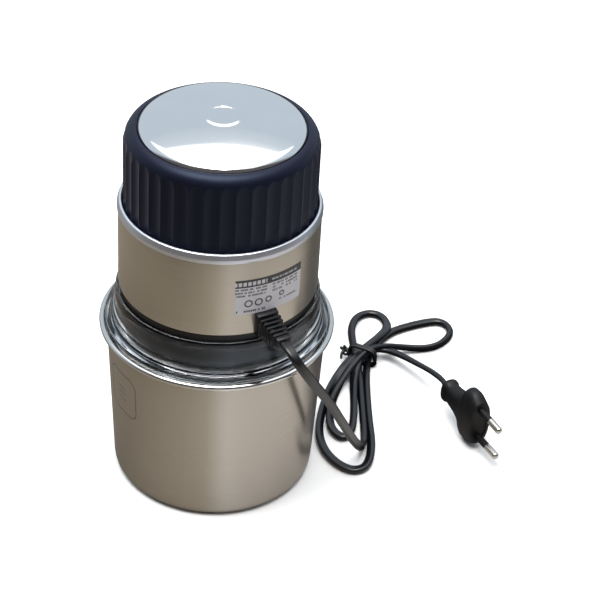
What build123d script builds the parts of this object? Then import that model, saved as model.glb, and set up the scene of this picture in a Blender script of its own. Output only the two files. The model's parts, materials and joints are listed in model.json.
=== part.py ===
from build123d import *
import math
import os

os.makedirs("parts", exist_ok=True)

# Two-in-one electric grain grinder, in millimetres. The origin is the centre of the bowl's foot,
# +Z is up and the front is -Y. The stack, from the bottom: steel bowl, clear lid, motor unit with
# the dry grinding cup in its head, and the fluted lid that is pressed down to start the motor.

# ---- driving dimensions -------------------------------------------------------------------
STEEL = 1.0                    # sheet thickness of the bowl
BOWL_FOOT_R = 52.4             # outer wall just above the rounded corner
BOWL_TOP_R = 56.1              # outer wall just under the rolled rim
BOWL_CORNER_R = 6.5
BOWL_WALL_TOP_Z = 86.5
BEAD_R = 1.6                   # rolled rim: radius of the bead and of its centre circle
BEAD_CENTRE_R = 58.4
BEAD_Z = 90.2

LID_FLOOR_Z = 93.2             # clear lid: upper face of its floor
LID_LEDGE_Z = 94.9
LID_LEDGE_R = 57.0
LID_LIP_Z = 112.1
LID_LIP_R = 51.6
LID_MOUTH_R = 50.2
LID_HOLE_R = 13.0

BASE_Z = 93.6                  # motor unit: underside of its base cover
BAND_Z = 116.3
BAND_R = 50.3
BAND_TOP_Z = 158.4
DECK_Z = 153.0                 # top of the deck that carries the motor and the cup
DECK_T = 2.5
RING_R = 50.8
RING_TOP_Z = 163.4

CUP_R = 37.5                   # grinding cup, inside
CUP_FLOOR_Z = 154.4
CUP_TOP_Z = 189.0

GRIP_R = 47.8                  # fluted lid
GRIP_BOTTOM_Z = 161.4
GRIP_SHOULDER_Z = 194.5
GRIP_TOP_Z = 203.4
FLUTES = 40
CAP_R = 40.4
CAP_EDGE_Z = 202.2
CAP_TOP_Z = 210.0
CAP_T = 1.0

SHAFT_R = 3.5
RUN = 0.04                     # radial clearance of a running fit
FIT = 0.05                     # clearance of fixed pieces that slip together
CORE_Z = 116.0                 # underside of the iron cores
CORE_H = 21.0
ARMATURE_R = 14.0
PRESS_TRAVEL = 2.5
POST_R = 2.0
POST_CIRCLE_R = 44.0
POST_ANGLES = (30, 150, 270)
BOSS_ANGLES = (90, 210, 330)
SPINDLE_R = 3.0
HUB_R = 8.0
BLADE_T = 1.5

CORD_ANGLE = 28.0              # degrees to the right of the front
CORD_WIDTH = 5.4               # flat twin cord, 5.4 by 3.4
RELIEF_Z = 121.5
RELIEF_END_R = 69.8

# The cord's route, chosen by hand: from the strain relief down to the hank, then on to the plug.
LEAD_ROUTE = [
    (33.0, -62.0, 121.4), (36.0, -67.9, 120.5), (39.6, -70.6, 116.0), (44.0, -68.2, 107.5),
    (50.3, -60.0, 93.0), (56.8, -50.0, 77.0), (62.6, -40.8, 60.5), (68.1, -29.5, 43.0),
    (73.0, -16.5, 25.0), (79.0, -3.0, 6.5),
]
TAIL_ROUTE = [
    (92.5, 85.5, 5.0), (99.5, 83.5, 6.4), (106.5, 77.0, 8.2), (114.2, 66.0, 11.5),
    (121.3, 54.5, 15.2), (126.0, 44.5, 17.6), (128.3, 37.3, 17.7),
]
TIE = (82.0, 83.0)
# Each lobe of the hank is the hull of two or three circles: (x, y, radius).
HANK_LOBES = [
    [(82, 83, 7), (81, 30, 10), (80, 6, 7)],
    [(82, 83, 7), (67, 20, 12), (73, -1, 18)],
    [(82, 83, 7), (89, 119, 14)],
    [(82, 83, 7), (122, 106, 9), (130, 112, 10)],
]
HANK_H = 7.0
PLUG_END = (128.3, 37.3)       # where the cord enters the plug
PLUG_Z = 17.7
PLUG_ANGLE = -63.4             # the plug points this many degrees from +X

REVOLVE_PLANE = Plane.XZ       # profiles are drawn as (radius, height)


def keep(piece, name):
    """Labels a finished piece and writes it."""
    piece.part.label = name
    export_step(piece.part, f"parts/{name}.step")


def tube(inner, outer, low, high):
    """A plain ring between two radii and two heights."""
    with BuildPart() as ring:
        with BuildSketch(Plane.XY.offset(low)):
            Circle(outer)
            if inner > 0:
                Circle(inner, mode=Mode.SUBTRACT)
        extrude(amount=high - low)
    return ring


def turned(points):
    """A solid of revolution from a closed outline of (radius, height) points."""
    with BuildPart() as body:
        with BuildSketch(REVOLVE_PLANE):
            with BuildLine():
                Polyline(*points, close=True)
            make_face()
        revolve(axis=Axis.Z)
    return body


def on_circle(radius, degrees):
    return (radius * math.cos(math.radians(degrees)), radius * math.sin(math.radians(degrees)))


def cord_path(route):
    """The radii of the tangent arcs, each as large as its two runs allow."""
    points = [Vector(*point) for point in route]
    radii = []
    for before, here, after in zip(points, points[1:], points[2:]):
        half_turn = math.radians((here - before).get_angle(after - here)) / 2
        shorter = min((here - before).length, (after - here).length)
        radii.append(0.45 * shorter / math.tan(half_turn))
    return radii


def cord_tube(route, name):
    """A plain round tube along straight runs joined by tangent arcs."""
    radii = cord_path(route)
    with BuildPart() as cord:
        with BuildLine() as path:
            FilletPolyline(*route, radius=radii)
        with BuildSketch(Plane(origin=route[0], z_dir=path.line % 0)):
            Circle(CORD_WIDTH / 2)
        sweep()
    length = path.wires()[0].length
    section = math.pi * (CORD_WIDTH / 2) ** 2
    print(name, "radii", [round(radius, 1) for radius in radii], "length", round(length, 1),
          "volume over section times length", round(cord.part.volume / (section * length), 3))
    keep(cord, name)


# ---- steel bowl ---------------------------------------------------------------------------
def steel_bowl():
    foot_flat_r = BOWL_FOOT_R - BOWL_CORNER_R
    neck_r = BEAD_CENTRE_R - BEAD_R * 0.6
    with BuildPart() as bowl:
        with BuildSketch(REVOLVE_PLANE):
            with BuildLine():
                Line((0, 0), (foot_flat_r, 0))
                RadiusArc((foot_flat_r, 0), (BOWL_FOOT_R, BOWL_CORNER_R), -BOWL_CORNER_R)
                Line((BOWL_FOOT_R, BOWL_CORNER_R), (BOWL_TOP_R, BOWL_WALL_TOP_Z))
                Line((BOWL_TOP_R, BOWL_WALL_TOP_Z), (neck_r, BEAD_Z))
                Line((neck_r, BEAD_Z), (neck_r - STEEL, BEAD_Z))
                Line((neck_r - STEEL, BEAD_Z), (BOWL_TOP_R - STEEL, BOWL_WALL_TOP_Z))
                Line((BOWL_TOP_R - STEEL, BOWL_WALL_TOP_Z), (BOWL_FOOT_R - STEEL, BOWL_CORNER_R))
                RadiusArc((BOWL_FOOT_R - STEEL, BOWL_CORNER_R), (foot_flat_r, STEEL),
                          BOWL_CORNER_R - STEEL)
                Line((foot_flat_r, STEEL), (0, STEEL))
                Line((0, STEEL), (0, 0))
            make_face()
            with Locations((BEAD_CENTRE_R, BEAD_Z)):
                Circle(BEAD_R)
        revolve(axis=Axis.Z)
    keep(bowl, "steel_bowl")


def bowl_spindle():
    spindle_top = 54.0
    flange_top = STEEL + 2.0
    with BuildPart() as spindle:
        with BuildSketch(Plane.XY.offset(STEEL)):
            Circle(9.0)
        extrude(amount=flange_top - STEEL)
        with BuildSketch(Plane.XY.offset(flange_top)):
            Circle(SPINDLE_R)
        extrude(amount=spindle_top - flange_top)
        chamfer(spindle.faces().sort_by(Axis.Z)[-1].edges(), length=0.8)
    keep(spindle, "bowl_spindle")


# ---- chopper that turns on the bowl's spindle ---------------------------------------------
HUB_FLANGE_Z = 3.6
LOWER_BLADE_Z = 8.6
UPPER_BLADE_Z = 29.0
HEAD_Z = 68.0
HUB_TOP_Z = 88.0
SOCKET_FLATS = 9.6


def chopper_hub():
    with BuildPart() as hub:
        with BuildSketch(Plane.XY.offset(HUB_FLANGE_Z)):
            Circle(13.0)
        extrude(amount=LOWER_BLADE_Z - HUB_FLANGE_Z)
        with BuildSketch(Plane.XY.offset(LOWER_BLADE_Z)):
            Circle(HUB_R)
        extrude(amount=HEAD_Z - LOWER_BLADE_Z)
        with BuildSketch(Plane.XY.offset(HEAD_Z)):
            Circle(11.5)
        extrude(amount=HUB_TOP_Z - HEAD_Z)
        with BuildSketch(Plane.XY.offset(HUB_FLANGE_Z)):
            Circle(SPINDLE_R + RUN)
        extrude(amount=52.0, mode=Mode.SUBTRACT)
        with BuildSketch(Plane.XY.offset(HUB_TOP_Z)):
            RegularPolygon(SOCKET_FLATS / 2, 6, major_radius=False)
        extrude(amount=-14.0, mode=Mode.SUBTRACT)
    keep(hub, "chopper_hub")


def chopping_blade(low, turn, name):
    """Two swept wings on a collar."""
    tip = (47.0, 4.0)
    with BuildSketch() as wing:
        with BuildLine():
            Line((6, -9), (24, -10))
            RadiusArc((24, -10), tip, -30)
            RadiusArc(tip, (20, 3), 45)
            Line((20, 3), (6, 7))
            Line((6, 7), (6, -9))
        make_face()
    with BuildPart() as blade:
        with BuildSketch(Plane.XY.offset(low)):
            Circle(13.0)
            with PolarLocations(0, 2, start_angle=turn):
                add(wing.sketch)
            Circle(HUB_R + FIT, mode=Mode.SUBTRACT)
        extrude(amount=BLADE_T)
    keep(blade, name)


def hub_spacers():
    """Two sleeves on the hub: one between the blades, one above the upper blade."""
    with BuildPart() as spacers:
        for low, high in ((LOWER_BLADE_Z + BLADE_T, UPPER_BLADE_Z),
                          (UPPER_BLADE_Z + BLADE_T, HEAD_Z)):
            with BuildSketch(Plane.XY.offset(low + FIT)):
                Circle(10.5)
                Circle(HUB_R + FIT, mode=Mode.SUBTRACT)
            extrude(amount=high - low - 2 * FIT)
    keep(spacers, "hub_spacers")


# ---- clear lid ----------------------------------------------------------------------------
def clear_lid():
    skirt_r = BOWL_TOP_R - STEEL - 1.7
    floor_low = LID_FLOOR_Z - 1.6
    lid = turned([
        (LID_HOLE_R, floor_low), (skirt_r - 1.8, floor_low), (skirt_r - 1.8, 84.5),
        (skirt_r, 84.5), (skirt_r, 86.2), (skirt_r - 0.9, 86.2), (skirt_r - 0.9, 88.6),
        (skirt_r, 88.6), (skirt_r, 91.6), (LID_LEDGE_R, 92.1),
        (LID_LEDGE_R, LID_LEDGE_Z - 0.6), (LID_LEDGE_R - 0.6, LID_LEDGE_Z), (54.2, 95.4),
        (53.4, 96.4), (52.3, 103.0), (51.7, 111.0), (LID_LIP_R - 0.5, LID_LIP_Z),
        (LID_MOUTH_R + 0.4, LID_LIP_Z), (LID_MOUTH_R, 111.6), (LID_MOUTH_R, 106.4),
        (50.6, 103.0), (51.4, LID_FLOOR_Z), (LID_HOLE_R, LID_FLOOR_Z),
    ])
    keep(lid, "clear_lid")


def lid_seal():
    outer = BOWL_TOP_R - STEEL - 0.5
    inner = BOWL_TOP_R - STEEL - 2.6 + FIT
    seal = turned([(inner, 86.25), (outer - 0.7, 86.25), (outer, 87.2), (outer - 0.5, 88.5),
                   (inner, 88.5)])
    keep(seal, "lid_seal")


# ---- motor unit: shells -------------------------------------------------------------------
def base_cover():
    with BuildPart() as cover:
        with BuildSketch(REVOLVE_PLANE):
            with BuildLine():
                Polyline((10.5, BASE_Z), (47.6, BASE_Z), (49.2, BASE_Z + 1.6), (49.4, 110.9),
                         (47.4, 110.9), (47.2, BASE_Z + 2.0), (12.5, BASE_Z + 2.0), (12.5, 97.6),
                         (10.5, 97.6), close=True)
            make_face()
        revolve(axis=Axis.Z)
        with Locations(*[Location((*on_circle(POST_CIRCLE_R - 3, angle), BASE_Z))
                         for angle in BOSS_ANGLES]):
            Cylinder(1.7, 12, mode=Mode.SUBTRACT)
    keep(cover, "base_cover")


def base_ring():
    ring = turned([(46.9, 111.2), (49.3, 111.2), (49.7, 111.7), (49.7, BAND_Z - 0.4),
                   (49.3, BAND_Z - 0.1), (46.9, BAND_Z - 0.1)])
    keep(ring, "base_ring")


def motor_chassis():
    """The black inner housing: a sleeve with a deck on top and three screw bosses below it."""
    deck_low = DECK_Z - DECK_T
    with BuildPart() as chassis:
        with BuildSketch(Plane.XY.offset(BAND_Z)):
            Circle(BAND_R - 0.7)
            Circle(BAND_R - 2.5, mode=Mode.SUBTRACT)
        extrude(amount=DECK_Z - BAND_Z)
        with BuildSketch(Plane.XY.offset(deck_low)):
            Circle(BAND_R - 1.0)
        extrude(amount=DECK_T)
        with BuildSketch(Plane.XY.offset(BASE_Z + 2.2)):
            for angle in BOSS_ANGLES:
                with Locations(on_circle(POST_CIRCLE_R - 3, angle)):
                    Circle(3.4)
        extrude(until=Until.NEXT, target=chassis.part)
        with BuildSketch(Plane.XY.offset(DECK_Z)):
            Circle(8.4)
            for angle in POST_ANGLES:
                with Locations(on_circle(POST_CIRCLE_R, angle)):
                    Circle(POST_R + 0.1)
            with GridLocations(34, 34, 2, 2):
                Circle(3.0)
        extrude(amount=-DECK_T, mode=Mode.SUBTRACT)
        with BuildSketch(Plane.XY.offset(BASE_Z + 2.2)):
            for angle in BOSS_ANGLES:
                with Locations(on_circle(POST_CIRCLE_R - 3, angle)):
                    Circle(1.3)
        extrude(amount=26, mode=Mode.SUBTRACT)
        with Locations(Location(RELIEF_SEAT, (0, 0, CORD_ANGLE))):
            Box(9.0, 8.0, 6.4, mode=Mode.SUBTRACT)
    keep(chassis, "motor_chassis")


RELIEF_SEAT = (BAND_R * math.sin(math.radians(CORD_ANGLE)),
               -BAND_R * math.cos(math.radians(CORD_ANGLE)), RELIEF_Z)


def body_band():
    with BuildPart() as band:
        with BuildSketch(Plane.XY.offset(BAND_Z)):
            Circle(BAND_R)
            Circle(BAND_R - 0.65, mode=Mode.SUBTRACT)
        extrude(amount=BAND_TOP_Z - BAND_Z)
        with Locations(Location(RELIEF_SEAT, (0, 0, CORD_ANGLE))):
            Box(9.0, 8.0, 6.4, mode=Mode.SUBTRACT)
    keep(band, "body_band")


def shoulder_ring():
    inner = GRIP_R + 0.6
    ring = turned([(inner, DECK_Z + 0.1), (BAND_R - 0.75, DECK_Z + 0.1),
                   (BAND_R - 0.75, BAND_TOP_Z + 0.1), (RING_R - 0.1, BAND_TOP_Z + 0.1),
                   (RING_R, BAND_TOP_Z + 0.5), (RING_R - 0.1, 160.2), (RING_R - 0.7, 161.8),
                   (RING_R - 1.5, 162.9), (inner + 0.5, RING_TOP_Z), (inner, RING_TOP_Z - 0.3)])
    keep(ring, "shoulder_ring")


# ---- motor unit: motor --------------------------------------------------------------------
STATOR_R = 27.0
LEG_R = 24.6
BUSH_R = 6.0


def stator_core():
    """A round laminated stack with two poles round the armature, its long axis along Y."""
    with BuildPart() as stator:
        with BuildSketch(Plane.XY.offset(CORE_Z)):
            Circle(STATOR_R)
            Circle(STATOR_R - 4.0, mode=Mode.SUBTRACT)
            with Locations((0, 18.4), (0, -18.4)):
                Rectangle(18, 10)
            with Locations((0, 14.2), (0, -14.2)):
                Rectangle(27, 3.6)
            Circle(ARMATURE_R + 0.6, mode=Mode.SUBTRACT)
        extrude(amount=CORE_H)
    keep(stator, "stator_core")


def field_coils():
    """A racetrack winding round each pole."""
    with BuildPart() as coils:
        for side in (1, -1):
            with BuildSketch(Plane.XZ.offset(-side * 17.6)):
                with Locations((0, CORE_Z + CORE_H / 2)):
                    RectangleRounded(24.0, CORE_H + 7.2, 3.0)
                    RectangleRounded(18.2, CORE_H + 0.4, 0.1, mode=Mode.SUBTRACT)
            extrude(amount=1.2, both=True)
    keep(coils, "field_coils")


def bracket(plate_low, hub_low, hub_high, leg_low, leg_high, name, turn=45):
    """A cross-shaped bearing bracket with a bush seat in its hub and four legs on the stator."""
    plate_t = 2.0
    with BuildPart() as body:
        with BuildSketch(Plane.XY.offset(plate_low)):
            Circle(11.0)
            with PolarLocations(0, 4, start_angle=turn):
                with Locations((LEG_R / 2, 0)):
                    Rectangle(LEG_R + 1.6, 8.0)
        extrude(amount=plate_t)
        with BuildSketch(Plane.XY.offset(hub_low)):
            Circle(8.2)
        extrude(amount=hub_high - hub_low)
        with BuildSketch(Plane.XY.offset(leg_low)):
            with PolarLocations(LEG_R, 4, start_angle=turn):
                Rectangle(3.6, 8.0)
        extrude(amount=leg_high - leg_low)
        with BuildSketch(Plane.XY.offset(hub_low)):
            Circle(BUSH_R + FIT)
        extrude(amount=hub_high - hub_low, mode=Mode.SUBTRACT)
    keep(body, name)


LOWER_HUB = (99.0, 105.0)
UPPER_HUB = (146.4, 152.2)


def bush(low, high, name):
    keep(tube(SHAFT_R + RUN, BUSH_R, low, high), name)


def brush_gear():
    """Holders, carbon brushes and their springs, on both sides of the commutator."""
    z = 109.0
    with BuildPart() as holders:
        for side in (1, -1):
            with Locations((side * 17.0, 0, z)):
                Box(13.0, 8.0, 8.0)
                Box(13.2, 5.2, 5.2, mode=Mode.SUBTRACT)
    keep(holders, "brush_holders")
    with BuildPart() as brushes:
        for side in (1, -1):
            with Locations((side * 13.3, 0, z)):
                Box(9.0, 5.0, 5.0)
    keep(brushes, "carbon_brushes")
    with BuildPart() as springs:
        for side in (1, -1):
            with BuildSketch(Plane.YZ.offset(side * 18.0)):
                with Locations((0, z)):
                    Circle(2.2)
                    Circle(1.5, mode=Mode.SUBTRACT)
            extrude(amount=side * 5.0)
            with BuildSketch(Plane.YZ.offset(side * 23.0)):
                with Locations((0, z)):
                    Circle(2.4)
            extrude(amount=side * 0.5)
    keep(springs, "brush_springs")


def motor_mounts():
    """Rubber grommets in the deck and the screws that hang the motor from them."""
    grid = GridLocations(34, 34, 2, 2)
    shank_low = 149.9
    with BuildPart() as mounts:
        with BuildSketch(Plane.XY.offset(DECK_Z - DECK_T)):
            with grid:
                Circle(2.9)
                Circle(1.6, mode=Mode.SUBTRACT)
        extrude(amount=DECK_T)
    keep(mounts, "motor_mounts")
    with BuildPart() as screws:
        with BuildSketch(Plane.XY.offset(shank_low)):
            with grid:
                Circle(1.5)
        extrude(amount=DECK_Z - shank_low)
        with BuildSketch(Plane.XY.offset(DECK_Z)):
            with grid:
                Circle(2.9)
        extrude(amount=1.3)
    keep(screws, "motor_screws")


def base_screws():
    with BuildPart() as screws:
        for angle in BOSS_ANGLES:
            place = on_circle(POST_CIRCLE_R - 3, angle)
            with BuildSketch(Plane.XY.offset(BASE_Z + 2.05)):
                with Locations(place):
                    Circle(1.25)
            extrude(amount=16)
            with BuildSketch(Plane.XY.offset(BASE_Z + 0.3)):
                with Locations(place):
                    Circle(1.65)
            extrude(amount=1.75)
    keep(screws, "base_screws")


# ---- rotor --------------------------------------------------------------------------------
DOG_FLATS = 9.0


def motor_shaft():
    with BuildPart() as shaft:
        with BuildSketch(Plane.XY.offset(80.0)):
            Circle(SHAFT_R)
        extrude(amount=83.0)
        with BuildSketch(Plane.XY.offset(163.0)):
            Circle(2.5)
        extrude(amount=6.5)
        chamfer(shaft.faces().sort_by(Axis.Z)[-1].edges(), length=0.5)
    keep(shaft, "motor_shaft")


def armature():
    """Slotted core, its end windings and the commutator, all pressed on the shaft."""
    slots = 12
    with BuildPart() as core:
        with BuildSketch(Plane.XY.offset(CORE_Z)):
            Circle(ARMATURE_R)
            with PolarLocations(ARMATURE_R - 2.6, slots):
                SlotOverall(6.4, 2.6, mode=Mode.SUBTRACT)
            Circle(SHAFT_R + 0.01, mode=Mode.SUBTRACT)
        extrude(amount=CORE_H)
    keep(core, "armature_core")
    with BuildPart() as windings:
        for low, high in ((CORE_Z - 2.4, CORE_Z - 0.05), (CORE_Z + CORE_H + 0.05, CORE_Z + CORE_H + 3)):
            with BuildSketch(Plane.XY.offset(low)):
                Circle(12.8)
                Circle(SHAFT_R + 0.6, mode=Mode.SUBTRACT)
            extrude(amount=high - low)
        fillet(windings.edges().filter_by(GeomType.CIRCLE).group_by(SortBy.RADIUS)[-1], radius=0.9)
    keep(windings, "armature_windings")
    with BuildPart() as commutator:
        with BuildSketch(Plane.XY.offset(105.6)):
            Circle(8.6)
            with PolarLocations(8.6, 24):
                Rectangle(1.0, 0.4, mode=Mode.SUBTRACT)
            Circle(SHAFT_R + 0.01, mode=Mode.SUBTRACT)
        extrude(amount=7.6)
    keep(commutator, "commutator")


def cooling_fan():
    low = 141.2
    with BuildPart() as fan:
        with BuildSketch(Plane.XY.offset(low)):
            Circle(20.0)
            Circle(SHAFT_R + 0.01, mode=Mode.SUBTRACT)
        extrude(amount=1.0)
        with BuildSketch(Plane.XY.offset(low + 1.0)):
            with PolarLocations(13.4, 9):
                Rectangle(12.0, 1.0, rotation=14)
        extrude(amount=3.4)
        with BuildSketch(Plane.XY.offset(low + 1.0)):
            Circle(6.0)
            Circle(SHAFT_R + 0.01, mode=Mode.SUBTRACT)
        extrude(amount=3.6)
    keep(fan, "cooling_fan")


def drive_dog():
    """The hexagonal dog on the shaft's lower end; it drops into the chopper hub's socket."""
    with BuildPart() as dog:
        with BuildSketch(Plane.XY.offset(88.5)):
            Circle(8.4)
        extrude(amount=9.0)
        with BuildSketch(Plane.XY.offset(75.5)):
            RegularPolygon(DOG_FLATS / 2, 6, major_radius=False)
        extrude(amount=13.0)
        with BuildSketch(Plane.XY.offset(97.5)):
            Circle(SHAFT_R + 0.01)
        extrude(amount=-17.5, mode=Mode.SUBTRACT)
    keep(dog, "drive_dog")


def grinding_blade():
    """A two-armed mill blade with swept tips."""
    with BuildSketch() as arm:
        with BuildLine():
            Polyline((0, -5.2), (20, -4.2), (33.5, 1.6), (33.5, 4.4), (18, 5.0), (0, 5.2),
                     close=True)
        make_face()
    with BuildPart() as blade:
        with BuildSketch(Plane.XY.offset(159.6)):
            Circle(6.5)
            with PolarLocations(0, 2, start_angle=20):
                add(arm.sketch)
            Circle(SHAFT_R + 0.01, mode=Mode.SUBTRACT)
        extrude(amount=BLADE_T)
    keep(blade, "grinding_blade")


def blade_clamp():
    keep(tube(SHAFT_R + 0.01, 6.0, 157.2, 159.55), "blade_spacer")
    with BuildPart() as nut:
        with BuildSketch(Plane.XY.offset(163.02)):
            RegularPolygon(4.6, 6, major_radius=False)
            Circle(2.51, mode=Mode.SUBTRACT)
        extrude(amount=4.2)
        with BuildSketch(Plane.XY.offset(161.15)):
            Circle(6.6)
            Circle(SHAFT_R + 0.01, mode=Mode.SUBTRACT)
        extrude(amount=1.87)
    keep(nut, "blade_nut")


# ---- dry grinding cup ---------------------------------------------------------------------
def grinding_cup():
    floor_high = CUP_FLOOR_Z + 0.8
    cup = turned([
        (7.6, CUP_FLOOR_Z), (CUP_R - 3, CUP_FLOOR_Z), (CUP_R + 0.8, CUP_FLOOR_Z + 3.6),
        (CUP_R + 0.8, CUP_TOP_Z - 0.8), (CUP_R + 2.0, CUP_TOP_Z - 0.8), (CUP_R + 2.0, CUP_TOP_Z),
        (CUP_R, CUP_TOP_Z), (CUP_R, CUP_FLOOR_Z + 4.0), (CUP_R - 3.3, floor_high),
        (7.6, floor_high),
    ])
    keep(cup, "grinding_cup")


def cup_fittings():
    keep(tube(28.5, CUP_R - 3.4, DECK_Z + 0.02, CUP_FLOOR_Z - 0.02), "cup_gasket")
    seal = turned([(SHAFT_R + 0.08, 152.3), (8.3, 152.3), (8.3, 154.3), (7.5, 154.3),
                   (7.5, 156.2), (5.6, 157.0), (SHAFT_R + 0.08, 157.0)])
    keep(seal, "shaft_seal")


# ---- press ring, its springs and the safety switch ----------------------------------------
PRESS_LOW_Z = 158.2


def press_ring():
    with BuildPart() as ring:
        with BuildSketch(Plane.XY.offset(PRESS_LOW_Z)):
            Circle(GRIP_R)
            Circle(CUP_R + 3.0, mode=Mode.SUBTRACT)
        extrude(amount=GRIP_BOTTOM_Z - 0.1 - PRESS_LOW_Z)
        with BuildSketch(Plane.XY.offset(PRESS_LOW_Z)):
            for angle in POST_ANGLES:
                with Locations(on_circle(POST_CIRCLE_R, angle)):
                    Circle(POST_R)
        extrude(amount=-14.4)
    keep(ring, "press_ring")


def return_springs():
    """Compression springs round the posts, between the deck and the press ring."""
    wire_r = 0.35
    height = PRESS_LOW_Z - DECK_Z - 2 * wire_r
    with BuildPart() as springs:
        with BuildLine(Plane.XY.offset(DECK_Z + wire_r)) as coil:
            Helix(pitch=height / 3.5, height=height, radius=2.75)
        with BuildSketch(Plane(origin=coil.line @ 0, z_dir=coil.line % 0)):
            Circle(wire_r)
        sweep(is_frenet=True)
    with BuildPart() as group:
        with Locations(*[Location((*on_circle(POST_CIRCLE_R, angle), 0)) for angle in POST_ANGLES]):
            add(springs.part)
    keep(group, "return_springs")


SWITCH_ANGLE = 150


def safety_switch():
    """A microswitch under one post, screwed to the chassis wall; its plunger is separate."""
    x, y = on_circle(POST_CIRCLE_R - 1.4, SWITCH_ANGLE)
    with BuildPart() as switch:
        with Locations(Location((x, y, 135.8), (0, 0, SWITCH_ANGLE - 90))):
            Box(19.8, 6.4, 10.0)
            Box(3.2, 2.2, 10.2, mode=Mode.SUBTRACT)
            with Locations((-6, 0, -6.6), (6, 0, -6.6)):
                Box(0.6, 3.0, 3.4)
    keep(switch, "safety_switch")
    with BuildPart() as plunger:
        with Locations(Location((x, y, 138.0), (0, 0, SWITCH_ANGLE - 90))):
            Box(3.0, 2.0, 7.6)
    keep(plunger, "switch_plunger")


def internal_leads():
    """Two insulated wires, from the cord's entry to the switch and to a brush holder."""
    switch_run = [(18.4, -35.2, 121.6), (10.0, -38.0, 128.0), (-10.0, -36.0, 130.0),
                  (-27.0, -18.0, 129.6), (-37.0, 4.0, 127.8), (-37.5, 20.0, 129.4)]
    brush_run = [(21.4, -34.0, 119.4), (29.0, -19.0, 114.0), (31.0, -8.0, 110.0),
                 (24.8, 0.0, 109.0)]
    with BuildPart() as leads:
        for route in (switch_run, brush_run):
            with BuildLine() as path:
                FilletPolyline(*route, radius=3.0)
            with BuildSketch(Plane(origin=route[0], z_dir=path.line % 0)):
                Circle(0.9)
            sweep(path=path.line)
    keep(leads, "internal_leads")


# ---- fluted lid ---------------------------------------------------------------------------
def fluted_grip():
    """The black lid shell, with a fillet at the shoulder and shallow flutes down its side."""
    flute_r = 9.0
    flute_depth = 0.7
    inner = GRIP_R - 3.4
    with BuildPart() as grip:
        with BuildSketch(REVOLVE_PLANE):
            with BuildLine():
                Line((inner, GRIP_BOTTOM_Z), (GRIP_R, GRIP_BOTTOM_Z))
                Line((GRIP_R, GRIP_BOTTOM_Z), (GRIP_R - 0.3, GRIP_SHOULDER_Z))
                RadiusArc((GRIP_R - 0.3, GRIP_SHOULDER_Z), (CAP_R + 0.5, GRIP_TOP_Z), -9.0)
                Polyline((CAP_R + 0.5, GRIP_TOP_Z), (CAP_R + 0.5, CAP_EDGE_Z - 0.8),
                         (0, CAP_EDGE_Z - 0.8), (0, 198.8), (CAP_R + 0.5, 198.8), (inner, 194.0),
                         (inner, GRIP_BOTTOM_Z))
            make_face()
        revolve(axis=Axis.Z)
        with BuildSketch(Plane.XY.offset(GRIP_BOTTOM_Z)):
            with PolarLocations(GRIP_R + flute_r - flute_depth, FLUTES):
                Circle(flute_r)
        extrude(amount=GRIP_SHOULDER_Z + 1.0 - GRIP_BOTTOM_Z, mode=Mode.SUBTRACT)
    keep(grip, "fluted_grip")


def mirror_cap():
    """A thin domed disc: nearly flat in the middle, steeper near its edge."""
    with BuildPart() as cap:
        with BuildSketch(REVOLVE_PLANE):
            with BuildLine():
                Line((CAP_R - CAP_T, CAP_EDGE_Z - 0.7), (CAP_R, CAP_EDGE_Z - 0.7))
                Line((CAP_R, CAP_EDGE_Z - 0.7), (CAP_R, CAP_EDGE_Z + 0.3))
                Spline((CAP_R, CAP_EDGE_Z + 0.3), (36.0, 205.6), (20.0, 208.9), (0, CAP_TOP_Z),
                       tangents=((-0.55, 0.83), (-1, 0)))
                Line((0, CAP_TOP_Z), (0, CAP_TOP_Z - CAP_T))
                Spline((0, CAP_TOP_Z - CAP_T), (20.0, 208.9 - CAP_T), (35.2, 205.6 - CAP_T * 1.2),
                       (CAP_R - CAP_T, CAP_EDGE_Z - 0.4), tangents=((1, 0), (0.55, -0.83)))
                Line((CAP_R - CAP_T, CAP_EDGE_Z - 0.4), (CAP_R - CAP_T, CAP_EDGE_Z - 0.7))
            make_face()
        revolve(axis=Axis.Z)
    keep(cap, "mirror_cap")


def lid_liner():
    """The inner cover: a cap over the grinding cup, held under the grip's top."""
    liner = turned([
        (CUP_R + 3.0, 164.6), (CUP_R + 4.6, 164.6), (CUP_R + 4.6, 193.6), (CUP_R + 1.8, 198.6),
        (0, 198.6), (0, 197.0), (CUP_R + 1.2, 197.0), (CUP_R + 3.0, 193.4),
    ])
    keep(liner, "lid_liner")
    keep(tube(CUP_R - 2.0, CUP_R + 1.0, CUP_TOP_Z + PRESS_TRAVEL + 0.4, 196.9), "liner_gasket")


# ---- label and strain relief --------------------------------------------------------------
def rating_label():
    """A thin sticker that lies on the band."""
    middle = -90 + 30.75
    half = 21.25
    with BuildPart() as label:
        with BuildSketch(Plane.XY.offset(128.2)):
            with BuildLine():
                inner_arc = CenterArc((0, 0), BAND_R + 0.02, middle - half, 2 * half)
                outer_arc = CenterArc((0, 0), BAND_R + 0.14, middle - half, 2 * half)
                Line(inner_arc @ 0, outer_arc @ 0)
                Line(inner_arc @ 1, outer_arc @ 1)
            make_face()
        extrude(amount=20.2)
    keep(label, "rating_label")


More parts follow.
